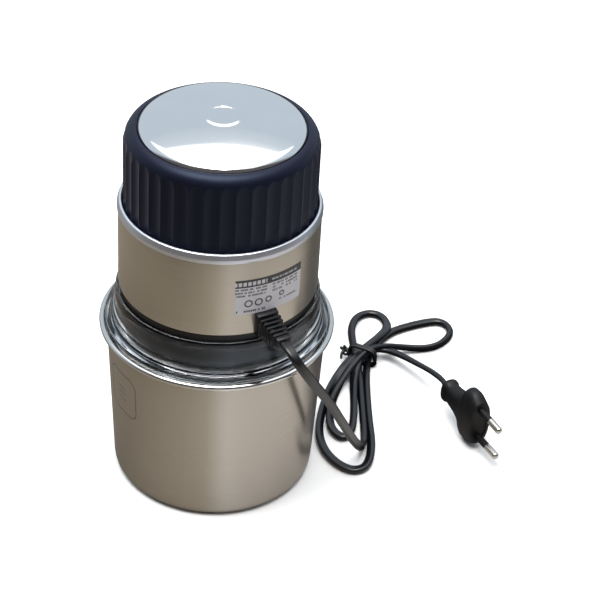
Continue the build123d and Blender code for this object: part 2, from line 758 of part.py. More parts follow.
def strain_relief():
    """A ribbed boot of flat section, with a square foot on the band and a collar at its end."""
    out = (math.sin(math.radians(CORD_ANGLE)), -math.cos(math.radians(CORD_ANGLE)), 0)
    across = (math.cos(math.radians(CORD_ANGLE)), math.sin(math.radians(CORD_ANGLE)), 0)

    def station(distance):
        centre = (out[0] * distance, out[1] * distance, RELIEF_Z)
        return Plane(origin=centre, x_dir=across, z_dir=out)

    ribs = 5
    foot_end_r = BAND_R + 3.2
    collar_start_r = RELIEF_END_R - 3.2
    pitch = (collar_start_r - foot_end_r) / ribs
    with BuildPart() as relief:
        with BuildSketch(station(BAND_R - 3.4)):
            Rectangle(8.8, 6.2)
        extrude(amount=4.2)
        with BuildSketch(station(BAND_R + 0.2)):
            RectangleRounded(12.4, 13.4, 1.0)
        with BuildSketch(station(foot_end_r)):
            RectangleRounded(11.6, 11.8, 1.0)
        loft()
        with BuildSketch(station(foot_end_r - 0.2)):
            RectangleRounded(8.2, 7.4, 1.0)
        with BuildSketch(station(collar_start_r + 0.2)):
            RectangleRounded(6.6, 4.8, 1.0)
        loft()
        for index in range(ribs):
            width = 11.4 - 0.7 * index
            height = 11.0 - 1.1 * index
            with BuildSketch(station(foot_end_r + pitch * index + 0.9)):
                RectangleRounded(width, height, 1.0)
            extrude(amount=pitch - 1.2)
        with BuildSketch(station(collar_start_r)):
            RectangleRounded(8.0, 6.2, 1.0)
        extrude(amount=3.2)
    keep(relief, "strain_relief")
    with BuildPart() as clamp:
        with Locations(station(BAND_R - 6.6).location):
            Box(16.0, 8.0, 5.6)
    keep(clamp, "cord_clamp")


# ---- cord hank, tie and plug --------------------------------------------------------------
def cord_hank():
    with BuildPart() as hank:
        for lobe in HANK_LOBES:
            with BuildSketch():
                for x, y, radius in lobe:
                    with Locations((x, y)):
                        Circle(radius)
                make_hull()
            extrude(amount=HANK_H)
    keep(hank, "cord_hank")


def cord_tie():
    """A wire tie round the hank's waist, with its two ends twisted together at the left."""
    wire_r = 0.9
    with BuildPart() as tie:
        with BuildSketch(Plane.XZ.offset(-TIE[1])):
            with Locations((TIE[0], 5.3)):
                RectangleRounded(19.0, 10.4, 4.0)
                RectangleRounded(16.0, 7.4, 3.0, mode=Mode.SUBTRACT)
        extrude(amount=wire_r, both=True)
        with BuildSketch(Plane.YZ.offset(TIE[0] - 8.4)):
            with Locations((TIE[1], 4.6)):
                Circle(1.5)
        extrude(amount=-7.0)
    keep(tie, "cord_tie")


def plug():
    """A flat two-pin plug that stands on its edge, with the pins one above the other."""
    neck = 8.5
    length = 33.5
    pin_gap = 18.0
    pointing = math.radians(PLUG_ANGLE)
    out = (math.cos(pointing), math.sin(pointing), 0)
    side = Plane(origin=(*PLUG_END, PLUG_Z), x_dir=out, z_dir=(out[1], -out[0], 0))
    with BuildPart() as body:
        with BuildSketch(side):
            Polygon((neck, -7.0), (17.5, -17.0), (20.0, -17.6), (27.0, -17.6), (length, -12.5),
                    (length, 12.5), (27.0, 17.6), (20.0, 17.6), (17.5, 17.0), (neck, 7.0),
                    align=None)
        extrude(amount=6.8, both=True)
        with BuildSketch(side):
            Polygon((0, -4.5), (neck + 1, -6.0), (neck + 1, 6.0), (0, 4.5), align=None)
        extrude(amount=4.6, both=True)
    keep(body, "plug_body")
    end = Plane(origin=(PLUG_END[0] + length * out[0], PLUG_END[1] + length * out[1], PLUG_Z),
                x_dir=(0, 0, 1), z_dir=out)
    with BuildPart() as pins:
        with BuildSketch(end):
            with Locations((pin_gap / 2, 0), (-pin_gap / 2, 0)):
                Circle(2.0)
        extrude(amount=19.0)
    keep(pins, "plug_pins")


steel_bowl()
bowl_spindle()
chopper_hub()
chopping_blade(LOWER_BLADE_Z, 0, "lower_chopping_blade")
chopping_blade(UPPER_BLADE_Z, 90, "upper_chopping_blade")
hub_spacers()
clear_lid()
lid_seal()
base_cover()
base_ring()
motor_chassis()
body_band()
shoulder_ring()
stator_core()
field_coils()
bracket(LOWER_HUB[0] + 1, *LOWER_HUB, 100.0, CORE_Z - 0.05, "lower_bracket")
bracket(UPPER_HUB[0] + 1.4, *UPPER_HUB, CORE_Z + CORE_H + 0.05, 149.0, "upper_bracket")
bush(*LOWER_HUB, "lower_bush")
bush(*UPPER_HUB, "upper_bush")
brush_gear()
motor_mounts()
base_screws()
motor_shaft()
armature()
cooling_fan()
drive_dog()
grinding_blade()
blade_clamp()
grinding_cup()
cup_fittings()
press_ring()
return_springs()
safety_switch()
internal_leads()
fluted_grip()
mirror_cap()
lid_liner()
rating_label()
strain_relief()
cord_tube(LEAD_ROUTE, "mains_lead")
cord_hank()
cord_tie()
cord_tube(TAIL_ROUTE, "cord_tail")
plug()
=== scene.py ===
import json
import math

import bmesh
import bpy
from mathutils import Matrix, Vector


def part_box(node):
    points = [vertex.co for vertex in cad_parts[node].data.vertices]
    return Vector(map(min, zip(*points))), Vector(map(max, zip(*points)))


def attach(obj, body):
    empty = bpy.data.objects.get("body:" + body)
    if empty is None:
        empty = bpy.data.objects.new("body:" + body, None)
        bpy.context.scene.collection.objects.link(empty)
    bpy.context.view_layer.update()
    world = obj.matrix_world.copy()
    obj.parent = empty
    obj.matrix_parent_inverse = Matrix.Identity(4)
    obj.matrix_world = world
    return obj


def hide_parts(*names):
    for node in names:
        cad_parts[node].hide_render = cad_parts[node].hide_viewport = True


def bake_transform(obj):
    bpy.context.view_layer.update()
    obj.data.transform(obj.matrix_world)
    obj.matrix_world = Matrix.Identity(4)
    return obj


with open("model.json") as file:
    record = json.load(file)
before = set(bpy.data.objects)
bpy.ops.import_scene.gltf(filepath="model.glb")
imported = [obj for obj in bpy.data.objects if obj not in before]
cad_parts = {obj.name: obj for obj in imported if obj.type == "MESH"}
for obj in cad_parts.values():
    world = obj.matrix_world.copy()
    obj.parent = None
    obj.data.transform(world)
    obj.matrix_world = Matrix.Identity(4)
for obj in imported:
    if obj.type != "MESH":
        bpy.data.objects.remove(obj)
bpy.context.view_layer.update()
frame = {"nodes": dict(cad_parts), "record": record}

cadNodes = frame["nodes"]
mm = 0.001
print("frame loaded:", len(cadNodes), "nodes")


# ---- camera ----

view = {"place": (0, -0.8197, 0.7041), "yaw": 2.93, "pitch": 36.25, "roll": 3.51, "lens": 120.0}


def makeCamera():
    yaw, pitch, roll = (math.radians(view[key]) for key in ("yaw", "pitch", "roll"))
    ahead = Vector((math.sin(yaw) * math.cos(pitch), math.cos(yaw) * math.cos(pitch), -math.sin(pitch)))
    level = Vector((math.cos(yaw), -math.sin(yaw), 0))
    upright = level.cross(ahead)
    right = level * math.cos(roll) + upright * math.sin(roll)
    up = upright * math.cos(roll) - level * math.sin(roll)
    data = bpy.data.cameras.new("camera")
    data.lens = view["lens"]
    data.sensor_width = 36.0
    data.clip_start = 0.01
    camera = bpy.data.objects.new("camera", data)
    bpy.context.scene.collection.objects.link(camera)
    facing = Matrix((right, up, -ahead)).transposed().to_4x4()
    camera.matrix_world = Matrix.Translation(view["place"]) @ facing
    bpy.context.scene.camera = camera


makeCamera()


# ---- shader expressions ----

class Wire:
    # one output of a node; arithmetic on wires adds Math nodes

    def __init__(self, finish, socket):
        self.finish = finish
        self.socket = socket

    def joined(self, operation, first, second=0.0):
        return self.finish.add("ShaderNodeMath", {"operation": operation}, {0: first, 1: second})

    def __add__(self, other):
        return self.joined("ADD", self, other)

    def __sub__(self, other):
        return self.joined("SUBTRACT", self, other)

    def __rsub__(self, other):
        return self.joined("SUBTRACT", other, self)

    def __mul__(self, other):
        return self.joined("MULTIPLY", self, other)

    def __truediv__(self, other):
        return self.joined("DIVIDE", self, other)

    def __pow__(self, other):
        return self.joined("POWER", self, other)

    def __abs__(self):
        return self.joined("ABSOLUTE", self)

    __radd__ = __add__

    def over(self, level, softness):
        # 0 below the level, 1 above it, with a soft step
        share = (self - level) / softness + 0.5
        share.socket.node.use_clamp = True
        return share

    def between(self, low, high, softness):
        return self.over(low, softness) * (1 - self.over(high, softness))


class Finish:
    # a material with one Principled shader; keyword values go on its own sockets

    def __init__(self, name, **values):
        self.material = bpy.data.materials.new(name)
        self.material.use_nodes = True
        self.tree = self.material.node_tree
        self.shader = self.tree.nodes["Principled BSDF"]
        for key, value in values.items():
            self.set(key, value)

    def set(self, key, value):
        socket = self.shader.inputs[socketNames.get(key, key)]
        if isinstance(value, Wire):
            self.tree.links.new(value.socket, socket)
        elif isinstance(value, (tuple, list)) and len(value) == 3:
            socket.default_value = (*value, 1.0)
        else:
            socket.default_value = value

    def add(self, kind, settings=None, inputs=None, output=0):
        node = self.tree.nodes.new(kind)
        for key, value in (settings or {}).items():
            if key == "stops":
                ramp = node.color_ramp
                while len(ramp.elements) < len(value):
                    ramp.elements.new(0.5)
                for stop, (place, colour) in zip(ramp.elements, value):
                    stop.position = place
                    stop.color = (*colour, 1.0)
            else:
                setattr(node, key, value)
        for key, value in (inputs or {}).items():
            if isinstance(value, Wire):
                self.tree.links.new(value.socket, node.inputs[key])
            elif isinstance(value, (tuple, list)) and len(node.inputs[key].default_value) == 4:
                node.inputs[key].default_value = (*value, 1.0)
            else:
                node.inputs[key].default_value = value
        return Wire(self, node.outputs[output])

    def place(self):
        # the object's own coordinates, as a vector
        return self.add("ShaderNodeTexCoord", output="Object")

    def stretched(self, scale):
        return self.add("ShaderNodeMapping", inputs={"Vector": self.place(), "Scale": scale})

    def noise(self, scale, detail=3.0, roughness=0.5, vector=None):
        return self.add("ShaderNodeTexNoise", inputs={
            "Vector": vector or self.place(), "Scale": scale, "Detail": detail, "Roughness": roughness})

    def mixed(self, mask, first, second):
        return self.add("ShaderNodeMix", {"data_type": "RGBA"}, {0: mask, 6: first, 7: second}, output=2)

    def bump(self, height, strength, distance):
        return self.add("ShaderNodeBump", inputs={
            "Height": height, "Strength": strength, "Distance": distance})

    def split(self):
        parts = self.add("ShaderNodeSeparateXYZ", inputs={0: self.place()})
        outputs = parts.socket.node.outputs
        return [Wire(self, outputs[index]) for index in range(3)]


socketNames = {
    "colour": "Base Color", "roughness": "Roughness", "metallic": "Metallic", "normal": "Normal",
    "coat": "Coat Weight", "coatRoughness": "Coat Roughness", "ior": "IOR", "clear": "Transmission Weight",
    "specular": "Specular IOR Level", "anisotropic": "Anisotropic", "sheen": "Sheen Weight",
    "anisotropicTurn": "Anisotropic Rotation", "specularTint": "Specular Tint",
    "sheenRoughness": "Sheen Roughness", "sheenTint": "Sheen Tint",
}


# ---- finishes ----

brushed = {
    "colour": (0.66, 0.62, 0.56), "dark": (0.55, 0.51, 0.45),
    "roughness": 0.30, "fineLines": 5200, "coarseLines": 900, "lineHeight": 0.00001,
}


def brushedSteel(name, **changes):
    # fine lines run round the piece, as from a belt
    look = {**brushed, **changes}
    finish = Finish(name, metallic=1.0, anisotropic=0.75, anisotropicTurn=0.25)
    fine = finish.noise(1.0, 2.0, vector=finish.stretched((40, 40, look["fineLines"])))
    coarse = finish.noise(1.0, 3.0, vector=finish.stretched((9, 9, look["coarseLines"])))
    cloud = finish.noise(26.0, 3.0)
    lines = fine * 0.6 + coarse * 0.4
    finish.set("colour", finish.mixed(lines * 0.5 + cloud * 0.3, look["dark"], look["colour"]))
    finish.set("roughness", look["roughness"] + (lines - 0.5) * 0.16 + (cloud - 0.5) * 0.05)
    finish.set("normal", finish.bump(lines, 0.35, look["lineHeight"]))
    return finish


panel = {
    "radius": 54.5 * mm, "middle": -58, "halfTurn": 12.0, "low": 50 * mm, "high": 75 * mm, "corner": 5 * mm,
    "line": 0.4 * mm, "soft": 0.3 * mm, "barPitch": 3.5 * mm, "barLow": 1.2 * mm, "barHigh": 2.2 * mm,
    "barEdge": 0.4 * mm, "barWide": 0.55, "barTall": 0.6, "colour": (0.20, 0.185, 0.16),
}


def etchedPanel(finish):
    # a faint etched outline with rounded corners, with plain bars inside it
    x, y, z = finish.split()
    low, high, corner, soft = (panel[key] for key in ("low", "high", "corner", "soft"))
    turn = finish.add("ShaderNodeMath", {"operation": "ARCTAN2"}, {0: x, 1: 0 - y})
    across = abs((turn - math.radians(panel["middle"])) * panel["radius"])
    up = abs(z - (low + high) / 2)
    halfWide = panel["radius"] * math.radians(panel["halfTurn"]) - corner
    halfHigh = (high - low) / 2 - corner
    outX = finish.add("ShaderNodeMath", {"operation": "MAXIMUM"}, {0: across - halfWide, 1: 0.0})
    outY = finish.add("ShaderNodeMath", {"operation": "MAXIMUM"}, {0: up - halfHigh, 1: 0.0})
    away = (outX * outX + outY * outY) ** 0.5
    outline = away.between(corner - panel["line"], corner + panel["line"], soft)
    step = finish.add("ShaderNodeMath", {"operation": "PINGPONG"}, {0: z - low, 1: panel["barPitch"]})
    bars = step.between(panel["barLow"], panel["barHigh"], soft)
    bars = bars * (1 - across.over(halfWide * panel["barWide"], panel["barEdge"]))
    bars = bars * (1 - up.over(halfHigh * panel["barTall"], panel["barEdge"]))
    front = (0 - y).over(0.0, 0.001)
    mark = (outline + bars * 0.6) * front
    shader = finish.shader
    steel = Wire(finish, shader.inputs["Base Color"].links[0].from_socket)
    rough = Wire(finish, shader.inputs["Roughness"].links[0].from_socket)
    finish.set("colour", finish.mixed(mark * 0.75, steel, panel["colour"]))
    finish.set("roughness", rough + mark * 0.22)
    return finish


def polished(name, colour, roughness, wear=0.05, scale=60.0):
    finish = Finish(name, metallic=1.0)
    cloud = finish.noise(scale, 4.0)
    finish.set("colour", finish.mixed(cloud, tuple(part * 0.93 for part in colour), colour))
    finish.set("roughness", roughness + (cloud - 0.5) * wear)
    return finish


def moulded(name, colour, roughness=0.45, grain=2200.0, height=0.000012, **extra):
    # injection-moulded plastic or rubber with a fine grain
    finish = Finish(name, **extra)
    fine = finish.noise(grain, 2.0)
    cloud = finish.noise(38.0, 3.0)
    finish.set("colour", finish.mixed(cloud, tuple(part * 0.8 for part in colour), colour))
    finish.set("roughness", roughness + (cloud - 0.5) * 0.10 + (fine - 0.5) * 0.06)
    finish.set("normal", finish.bump(fine, 0.5, height))
    return finish


def layered(name, colour, pitch, roughness=0.4, metallic=1.0):
    # wound or stacked in thin layers along the height
    finish = Finish(name, metallic=metallic)
    height = finish.split()[2]
    step = finish.add("ShaderNodeMath", {"operation": "PINGPONG"}, {0: height, 1: pitch / 2})
    level = step / (pitch / 2)
    finish.set("colour", finish.mixed(level, tuple(part * 0.45 for part in colour), colour))
    finish.set("roughness", roughness + (1 - level) * 0.2)
    finish.set("normal", finish.bump(level, 0.6, pitch * 0.2))
    return finish


def clearPlastic():
    finish = Finish("clearPlastic", clear=1.0, ior=1.49, specular=0.35, specularTint=(0.75, 0.86, 1.0))
    scuff = finish.noise(160.0, 4.0, 0.7)
    finish.set("colour", (0.93, 0.95, 0.97))
    finish.set("roughness", 0.015 + scuff.over(0.62, 0.2) * 0.06)
    return finish


# where the print lies on the band, in degrees round from the near side and in height
labelLook = {
    "middle": 29.15, "half": 21.25, "low": 128.2 * mm, "high": 148.4 * mm,
    "ink": (0.018, 0.017, 0.02), "pale": (0.62, 0.62, 0.65),
    "paper": ((0.62, 0.61, 0.66), (0.68, 0.67, 0.72)),
}


def printedLabel():
    # a pale film with a dark header strip and rows of short dashes that stand for small print
    finish = Finish("printedLabel", coat=0.4, coatRoughness=0.25)
    x, y, z = finish.split()
    turn = finish.add("ShaderNodeMath", {"operation": "ARCTAN2"}, {0: x, 1: 0 - y})
    width = 2 * labelLook["half"]
    across = (turn * (180 / math.pi) - (labelLook["middle"] - labelLook["half"])) / width
    up = (z - labelLook["low"]) / (labelLook["high"] - labelLook["low"])

    def dashes(low, high, left, right, count, gap):
        # one row of print: a strip cut into dashes of uneven length
        cell = finish.add("ShaderNodeMath", {"operation": "FLOOR"}, {0: across * count})
        seed = finish.add("ShaderNodeTexWhiteNoise", {"noise_dimensions": "1D"}, {"W": cell + low * 91.7})
        shown = seed.over(gap, 0.02) * (across * count - cell).over(0.28, 0.2)
        return up.between(low, high, 0.02) * across.between(left, right, 0.008) * shown

    def ring(cx, cy, size, thick):
        dx = (across - cx) * 1.85
        dy = up - cy
        away = (dx * dx + dy * dy) ** 0.5
        return away.between(size - thick, size, 0.02)

    header = up.over(0.785, 0.015)
    ink = header
    for low in (0.70, 0.61, 0.52):
        ink = ink + dashes(low, low + 0.052, 0.03, 0.47, 58, 0.22)
        ink = ink + dashes(low, low + 0.052, 0.55, 0.97, 54, 0.25)
    ink = ink + dashes(0.06, 0.12, 0.03, 0.46, 40, 0.15) + dashes(0.20, 0.25, 0.66, 0.95, 60, 0.2)
    for cx, cy, size in ((0.22, 0.31, 0.105), (0.36, 0.31, 0.105), (0.50, 0.33, 0.09), (0.70, 0.38, 0.075)):
        ink = ink + ring(cx, cy, size, 0.035)
    ink.socket.node.use_clamp = True
    pale = dashes(0.83, 0.94, 0.03, 0.47, 16, 0.02) + dashes(0.86, 0.91, 0.54, 0.95, 60, 0.12)
    paper = finish.mixed(finish.noise(300.0), *labelLook["paper"])
    printed = finish.mixed(ink, paper, labelLook["ink"])
    finish.set("colour", finish.mixed(pale * header, printed, labelLook["pale"]))
    finish.set("roughness", 0.42 - ink * 0.08)
    return finish


def flutedPlastic():
    # navy-black, with a soft slate sheen where light falls on it
    finish = moulded("flutedPlastic", (0.0030, 0.0035, 0.0105), 0.42, 1500.0, 0.00001)
    finish.set("specular", 0.3)
    finish.set("specularTint", (0.55, 0.68, 1.0))
    finish.set("sheen", 0.08)
    finish.set("sheenRoughness", 0.4)
    finish.set("sheenTint", (0.45, 0.55, 0.9))
    return finish


finishes = {
    "brushed_steel": etchedPanel(brushedSteel("bowlSteel")),
    "polished_steel": polished("polishedSteel", (0.74, 0.74, 0.73), 0.12),
    "mirror_steel": polished("mirrorSteel", (0.84, 0.86, 0.88), 0.06, 0.02),
    "silver_trim": polished("silverTrim", (0.74, 0.77, 0.84), 0.36, 0.06),
    "black_plastic": moulded("blackPlastic", (0.0032, 0.0038, 0.0075), 0.3, specular=0.12),
    "fluted_plastic": flutedPlastic(),
    "white_plastic": moulded("whitePlastic", (0.78, 0.77, 0.73), 0.4),
    "clear_plastic": clearPlastic(),
    "silicone": moulded("silicone", (0.62, 0.62, 0.60), 0.5),
    "black_rubber": moulded("blackRubber", (0.0045, 0.0045, 0.007), 0.42, 1400.0, 0.00002, specular=0.4),
    "blade_steel": brushedSteel("bladeSteel", colour=(0.60, 0.60, 0.59), dark=(0.46, 0.46, 0.46),
                                roughness=0.3, fineLines=900),
    "shaft_steel": polished("shaftSteel", (0.55, 0.56, 0.57), 0.25),
    "core_steel": layered("coreSteel", (0.30, 0.30, 0.31), 0.0008),
    "copper": layered("copperWire", (0.70, 0.30, 0.13), 0.0007, 0.32),
    "commutator_copper": polished("commutatorCopper", (0.72, 0.40, 0.24), 0.3),
    "carbon": moulded("carbon", (0.03, 0.03, 0.03), 0.6, 900.0, 0.00003),
    "bronze": polished("sinteredBronze", (0.50, 0.35, 0.18), 0.45, 0.15, 900.0),
    "zinc": polished("castZinc", (0.55, 0.56, 0.57), 0.5, 0.2, 500.0),
    "screw_steel": polished("zincPlate", (0.58, 0.58, 0.55), 0.33, 0.1, 300.0),
    "label_white": printedLabel(),
    "cord_black": moulded("cordBlack", (0.0035, 0.0038, 0.006), 0.30, 1800.0, 0.00001, specular=0.6),
    "plug_black": moulded("plugBlack", (0.0026, 0.0026, 0.0036), 0.5, 1600.0, 0.00002, specular=0.3),
    "pin_nickel": polished("nickel", (0.66, 0.63, 0.58), 0.22, 0.08, 400.0),
    "tie_black": moulded("tieBlack", (0.003, 0.003, 0.0045), 0.42),
}
bandSteel = brushedSteel("bandSteel", colour=(0.62, 0.575, 0.50), dark=(0.50, 0.46, 0.39))
print("finishes:", len(finishes) + 1)

slotOf = {part["node"]: part["material_slot"] for part in frame["record"]["subparts"]}
for nodeName, node in cadNodes.items():
    node.data.materials.clear()
    node.data.materials.append(finishes[slotOf[nodeName]].material)


# ---- making pieces ----

def makePiece(bm, name, body, slot, stands=(), material=None, sharp=32):
    bmesh.ops.remove_doubles(bm, verts=bm.verts, dist=1e-6)
    bmesh.ops.recalc_face_normals(bm, faces=bm.faces)
    mesh = bpy.data.meshes.new(name)
    bm.to_mesh(mesh)
    bm.free()
    mesh.shade_smooth()
    mesh.set_sharp_from_angle(angle=math.radians(sharp))
    mesh.materials.append(material or finishes[slot].material)
    piece = bpy.data.objects.new(name, mesh)
    bpy.context.scene.collection.objects.link(piece)
    if stands:
        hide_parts(*stands)
    if body:
        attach(piece, body)
    return piece


def bend(start, corner, end, segments):
    # a smooth bend from start to end that heads for the corner
    steps = [step / segments for step in range(segments + 1)]
    return [start * (1 - t) ** 2 + corner * (2 * t * (1 - t)) + end * t ** 2 for t in steps]


def rounded(corners, segments=5):
    # an outline of (radius, height) corners in millimetres; a third value rounds the corner
    spots = [Vector((corner[0], 0, corner[1])) * mm for corner in corners]
    path = []
    for index, corner in enumerate(corners):
        here = spots[index]
        rounding = corner[2] * mm if len(corner) > 2 else 0
        if not rounding:
            path.append(here)
            continue
        back = spots[index - 1] - here
        ahead = spots[(index + 1) % len(spots)] - here
        reach = min(rounding / math.tan(back.angle(ahead) / 2), back.length * 0.49, ahead.length * 0.49)
        start = here + back.normalized() * reach
        end = here + ahead.normalized() * reach
        path += bend(start, here, end, segments)
    return path


def turned(path, steps=192):
    # spins a closed outline round the upright axis
    bm = bmesh.new()
    verts = [bm.verts.new(spot) for spot in path]
    edges = [bm.edges.new(pair) for pair in zip(verts, verts[1:] + verts[:1])]
    bmesh.ops.spin(bm, geom=verts + edges, cent=(0, 0, 0), axis=(0, 0, 1), angle=math.tau,
                   steps=steps, use_merge=True)
    return bm


def bridged(bm, rings):
    # joins each ring of vertices to the next
    for first, second in zip(rings, rings[1:]):
        edges = {edge for vert in first + second for edge in vert.link_edges if len(edge.link_faces) < 2}
        edges = [edge for edge in edges if {*edge.verts} <= {*first} or {*edge.verts} <= {*second}]
        bmesh.ops.bridge_loops(bm, edges=edges)


def joinTo(bm, part):
    # adds the part to bm and lets go of it
    mesh = bpy.data.meshes.new("part")
    part.to_mesh(mesh)
    part.free()
    bm.from_mesh(mesh)
    bpy.data.meshes.remove(mesh)


# ---- steel bowl ----

bowl = {"foot": 52.4, "shoulder": 56.1, "wallTop": 86.5, "sheet": 1.0, "corner": 6.5, "bead": 1.6}


def makeBowl():
    rim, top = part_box("steel_bowl")[1].x / mm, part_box("steel_bowl")[1].z / mm
    sheet, bead = bowl["sheet"], bowl["bead"]
    wall = rounded([
        (0, 0), (bowl["foot"] - 0.1, 0, bowl["corner"]), (bowl["shoulder"], bowl["wallTop"], 1.2),
        (rim - bead * 2.1, top - bead * 1.8)], 8)
    beadPath = []
    for step in range(19):
        turn = math.radians(-125 + step * 17.5)
        out, up = bead * math.cos(turn), bead * math.sin(turn)
        beadPath.append(Vector((rim - bead + out, 0, top - bead + up)) * mm)
    inside = rounded([
        (rim - bead * 2.1 - 0.3, top - bead * 1.6), (bowl["shoulder"] - sheet, bowl["wallTop"], 1.2),
        (bowl["foot"] - sheet, sheet, bowl["corner"] - sheet), (0, sheet)], 8)
    bm = turned(wall + beadPath + inside, 256)
    shell = makePiece(bm, "bowlShell", "bowl", "brushed_steel", ["steel_bowl"])
    shell.data.materials.append(finishes["polished_steel"].material)
    for polygon in shell.data.polygons:
        if polygon.center.xy.length > (bowl["shoulder"] + 0.7) * mm:
            polygon.material_index = 1


makeBowl()


# ---- clear lid ----

lid = {"skirtTop": 92.1, "ledge": 57.0, "ledgeTop": 94.9, "lip": 51.6, "mouth": 50.2, "lipTop": 112.1}


def makeClearLid():
    outline = rounded([
        (13.0, 91.6, 0.4), (51.6, 91.6, 0.3), (51.6, 84.5, 0.3), (53.4, 84.5, 0.3), (53.4, 86.2),
        (52.5, 86.2), (52.5, 88.6), (53.4, 88.6), (53.4, 91.6, 0.3), (lid["ledge"], lid["skirtTop"], 0.5),
        (lid["ledge"], lid["ledgeTop"] - 0.3, 0.5), (54.6, lid["ledgeTop"] + 0.2, 0.5), (53.4, 96.6, 0.8),
        (52.4, 103.0, 2.0), (51.7, 111.0, 0.3), (lid["lip"] - 0.4, lid["lipTop"], 0.4),
        (lid["mouth"] + 0.3, lid["lipTop"], 0.4), (lid["mouth"], 111.4), (lid["mouth"], 106.4, 0.4),
        (50.7, 103.0, 1.0), (51.3, 93.2, 0.6), (13.0, 93.2, 0.4)])
    makePiece(turned(outline, 256), "clearLid", "bowl_lid", "clear_plastic", ["clear_lid"])


makeClearLid()


# ---- band and rings ----

band = {"radius": 50.3, "low": 116.3, "high": 158.4, "sheet": 0.65}


def makeBand():
    inner = band["radius"] - band["sheet"]
    outline = rounded([
        (inner, band["low"]), (band["radius"], band["low"], 0.25), (band["radius"], band["high"], 0.2),
        (inner, band["high"])], 3)
    makePiece(turned(outline, 256), "steelBand", "motor_unit", "brushed_steel", ["body_band"],
              bandSteel.material)
    seat = rounded([
        (46.9, 111.2), (49.5, 111.2, 0.4), (49.7, 112.2, 0.4), (49.7, 115.8, 0.4), (49.3, 116.2, 0.2),
        (46.9, 116.2)], 3)
    makePiece(turned(seat, 192), "seatRing", "motor_unit", "black_rubber", ["base_ring"])


def makeShoulderRing():
    low, high = (corner.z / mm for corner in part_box("shoulder_ring"))
    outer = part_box("shoulder_ring")[1].x / mm
    outline = rounded([
        (48.4, low), (49.55, low), (49.55, 158.45), (outer - 0.15, 158.5, 0.2), (outer, 159.2, 0.4),
        (outer, 160.6, 1.6), (outer - 1.0, high - 0.2, 1.2), (48.7, high, 0.4), (48.4, high - 0.6, 0.3)], 7)
    makePiece(turned(outline, 256), "shoulderRing", "motor_unit", "silver_trim", ["shoulder_ring"])


makeBand()
makeShoulderRing()
print("bowl, clear lid, band and rings")


# ---- fluted lid and its cap ----

grip = {
    "radius": 47.8, "inner": 44.4, "shoulder": 194.3, "top": 203.4, "capGap": 0.2, "capRadius": 41.0,
    "flutes": 40, "fluteDepth": 1.0, "stepsPerFlute": 12, "bottomRounding": 0.5,
}


def makeGrip():
    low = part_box("fluted_grip")[0].z / mm
    radius, inner, shoulder, top = (grip[key] for key in ("radius", "inner", "shoulder", "top"))
    seat = grip["capRadius"] + grip["capGap"]
    path = rounded([(inner, low), (radius, low, grip["bottomRounding"]), (radius, low + 1.2)], 4)
    path += [Vector((radius, 0, low + (shoulder - low) * step / 6)) * mm for step in range(1, 7)]
    across = radius - seat
    for step in range(1, 41):
        turn = math.pi / 2 * step / 40
        spot = (seat + 0.25 + (across - 0.25) * math.cos(turn), shoulder + (top - shoulder) * math.sin(turn))
        path.append(Vector((spot[0], 0, spot[1])) * mm)
    path += rounded([
        (seat, top - 0.1, 0.2), (seat, 201.8), (0, 201.8), (0, 198.8), (40.9, 198.8), (inner, 194.0, 1.0)], 3)
    bm = turned(path, grip["flutes"] * grip["stepsPerFlute"])
    for vert in bm.verts:
        reach = vert.co.xy.length / mm
        height = vert.co.z / mm
        if reach < inner + 0.5 or height < low + 0.01:
            continue
        share = math.atan2(vert.co.y, vert.co.x) / math.tau * grip["flutes"] % 1.0
        hollow = grip["fluteDepth"] * (1 - (2 * share - 1) ** 2)
        rise = min(1.0, (height - low) / 1.2)
        limit = radius - hollow * rise
        if reach > limit:
            vert.co.xy *= limit / reach
    makePiece(bm, "gripShell", "grinder_lid", "fluted_plastic", ["fluted_grip"], sharp=50)


cap = {
    "top": 210.0, "drop": 4.0, "shoulder": 37.6, "edge": 41.0, "skirt": 202.4, "sheet": 1.0,
    "ringRadius": 8.7, "ringHeight": 0.3, "ringClear": 1.1,
    "ringProfile": ((-0.8, 0), (-0.5, 1), (-0.1, 1), (0.4, 0)),
}


def capLine(lower):
    # from the middle over the shallow dome and round the edge; the top side leaves a gap for the ring,
    # and the underside is lowered by the sheet's thickness
    reach, edge = cap["shoulder"], cap["edge"] - lower
    spots = []
    for step in range(37):
        radius = reach * step / 36
        if not lower and abs(radius - cap["ringRadius"]) < cap["ringClear"]:
            continue
        spots.append(Vector((radius, 0, cap["top"] - lower - cap["drop"] * (radius / reach) ** 2)) * mm)
    start = Vector((reach, 0, cap["top"] - lower - cap["drop"])) * mm
    corner = Vector((edge - 0.3, 0, cap["top"] - lower - cap["drop"] - 0.9)) * mm
    return spots[:-1] + bend(start, corner, Vector((edge, 0, cap["skirt"])) * mm, 16)


def makeCap():
    outer = capLine(0)
    for offset, height in cap["ringProfile"]:
        radius = cap["ringRadius"] + offset
        level = cap["top"] - cap["drop"] * (radius / cap["shoulder"]) ** 2
        outer.append(Vector((radius, 0, level + height * cap["ringHeight"])) * mm)
    outer.sort(key=lambda spot: (spot.x, -spot.z))
    path = outer + capLine(cap["sheet"])[::-1]
    makePiece(turned(path, 256), "mirrorCap", "grinder_lid", "mirror_steel", ["mirror_cap"], sharp=40)


makeGrip()
makeCap()
print("fluted lid and cap")


# ---- strain relief ----

relief = {
    "angle": 28.0, "height": 121.5, "wall": 50.3, "end": 69.8, "foot": (11.8, 13.2), "ribs": 5,
    "firstRib": (11.0, 10.6), "lastRib": (8.6, 6.6), "core": (7.2, 6.0), "collar": (8.2, 6.0),
}


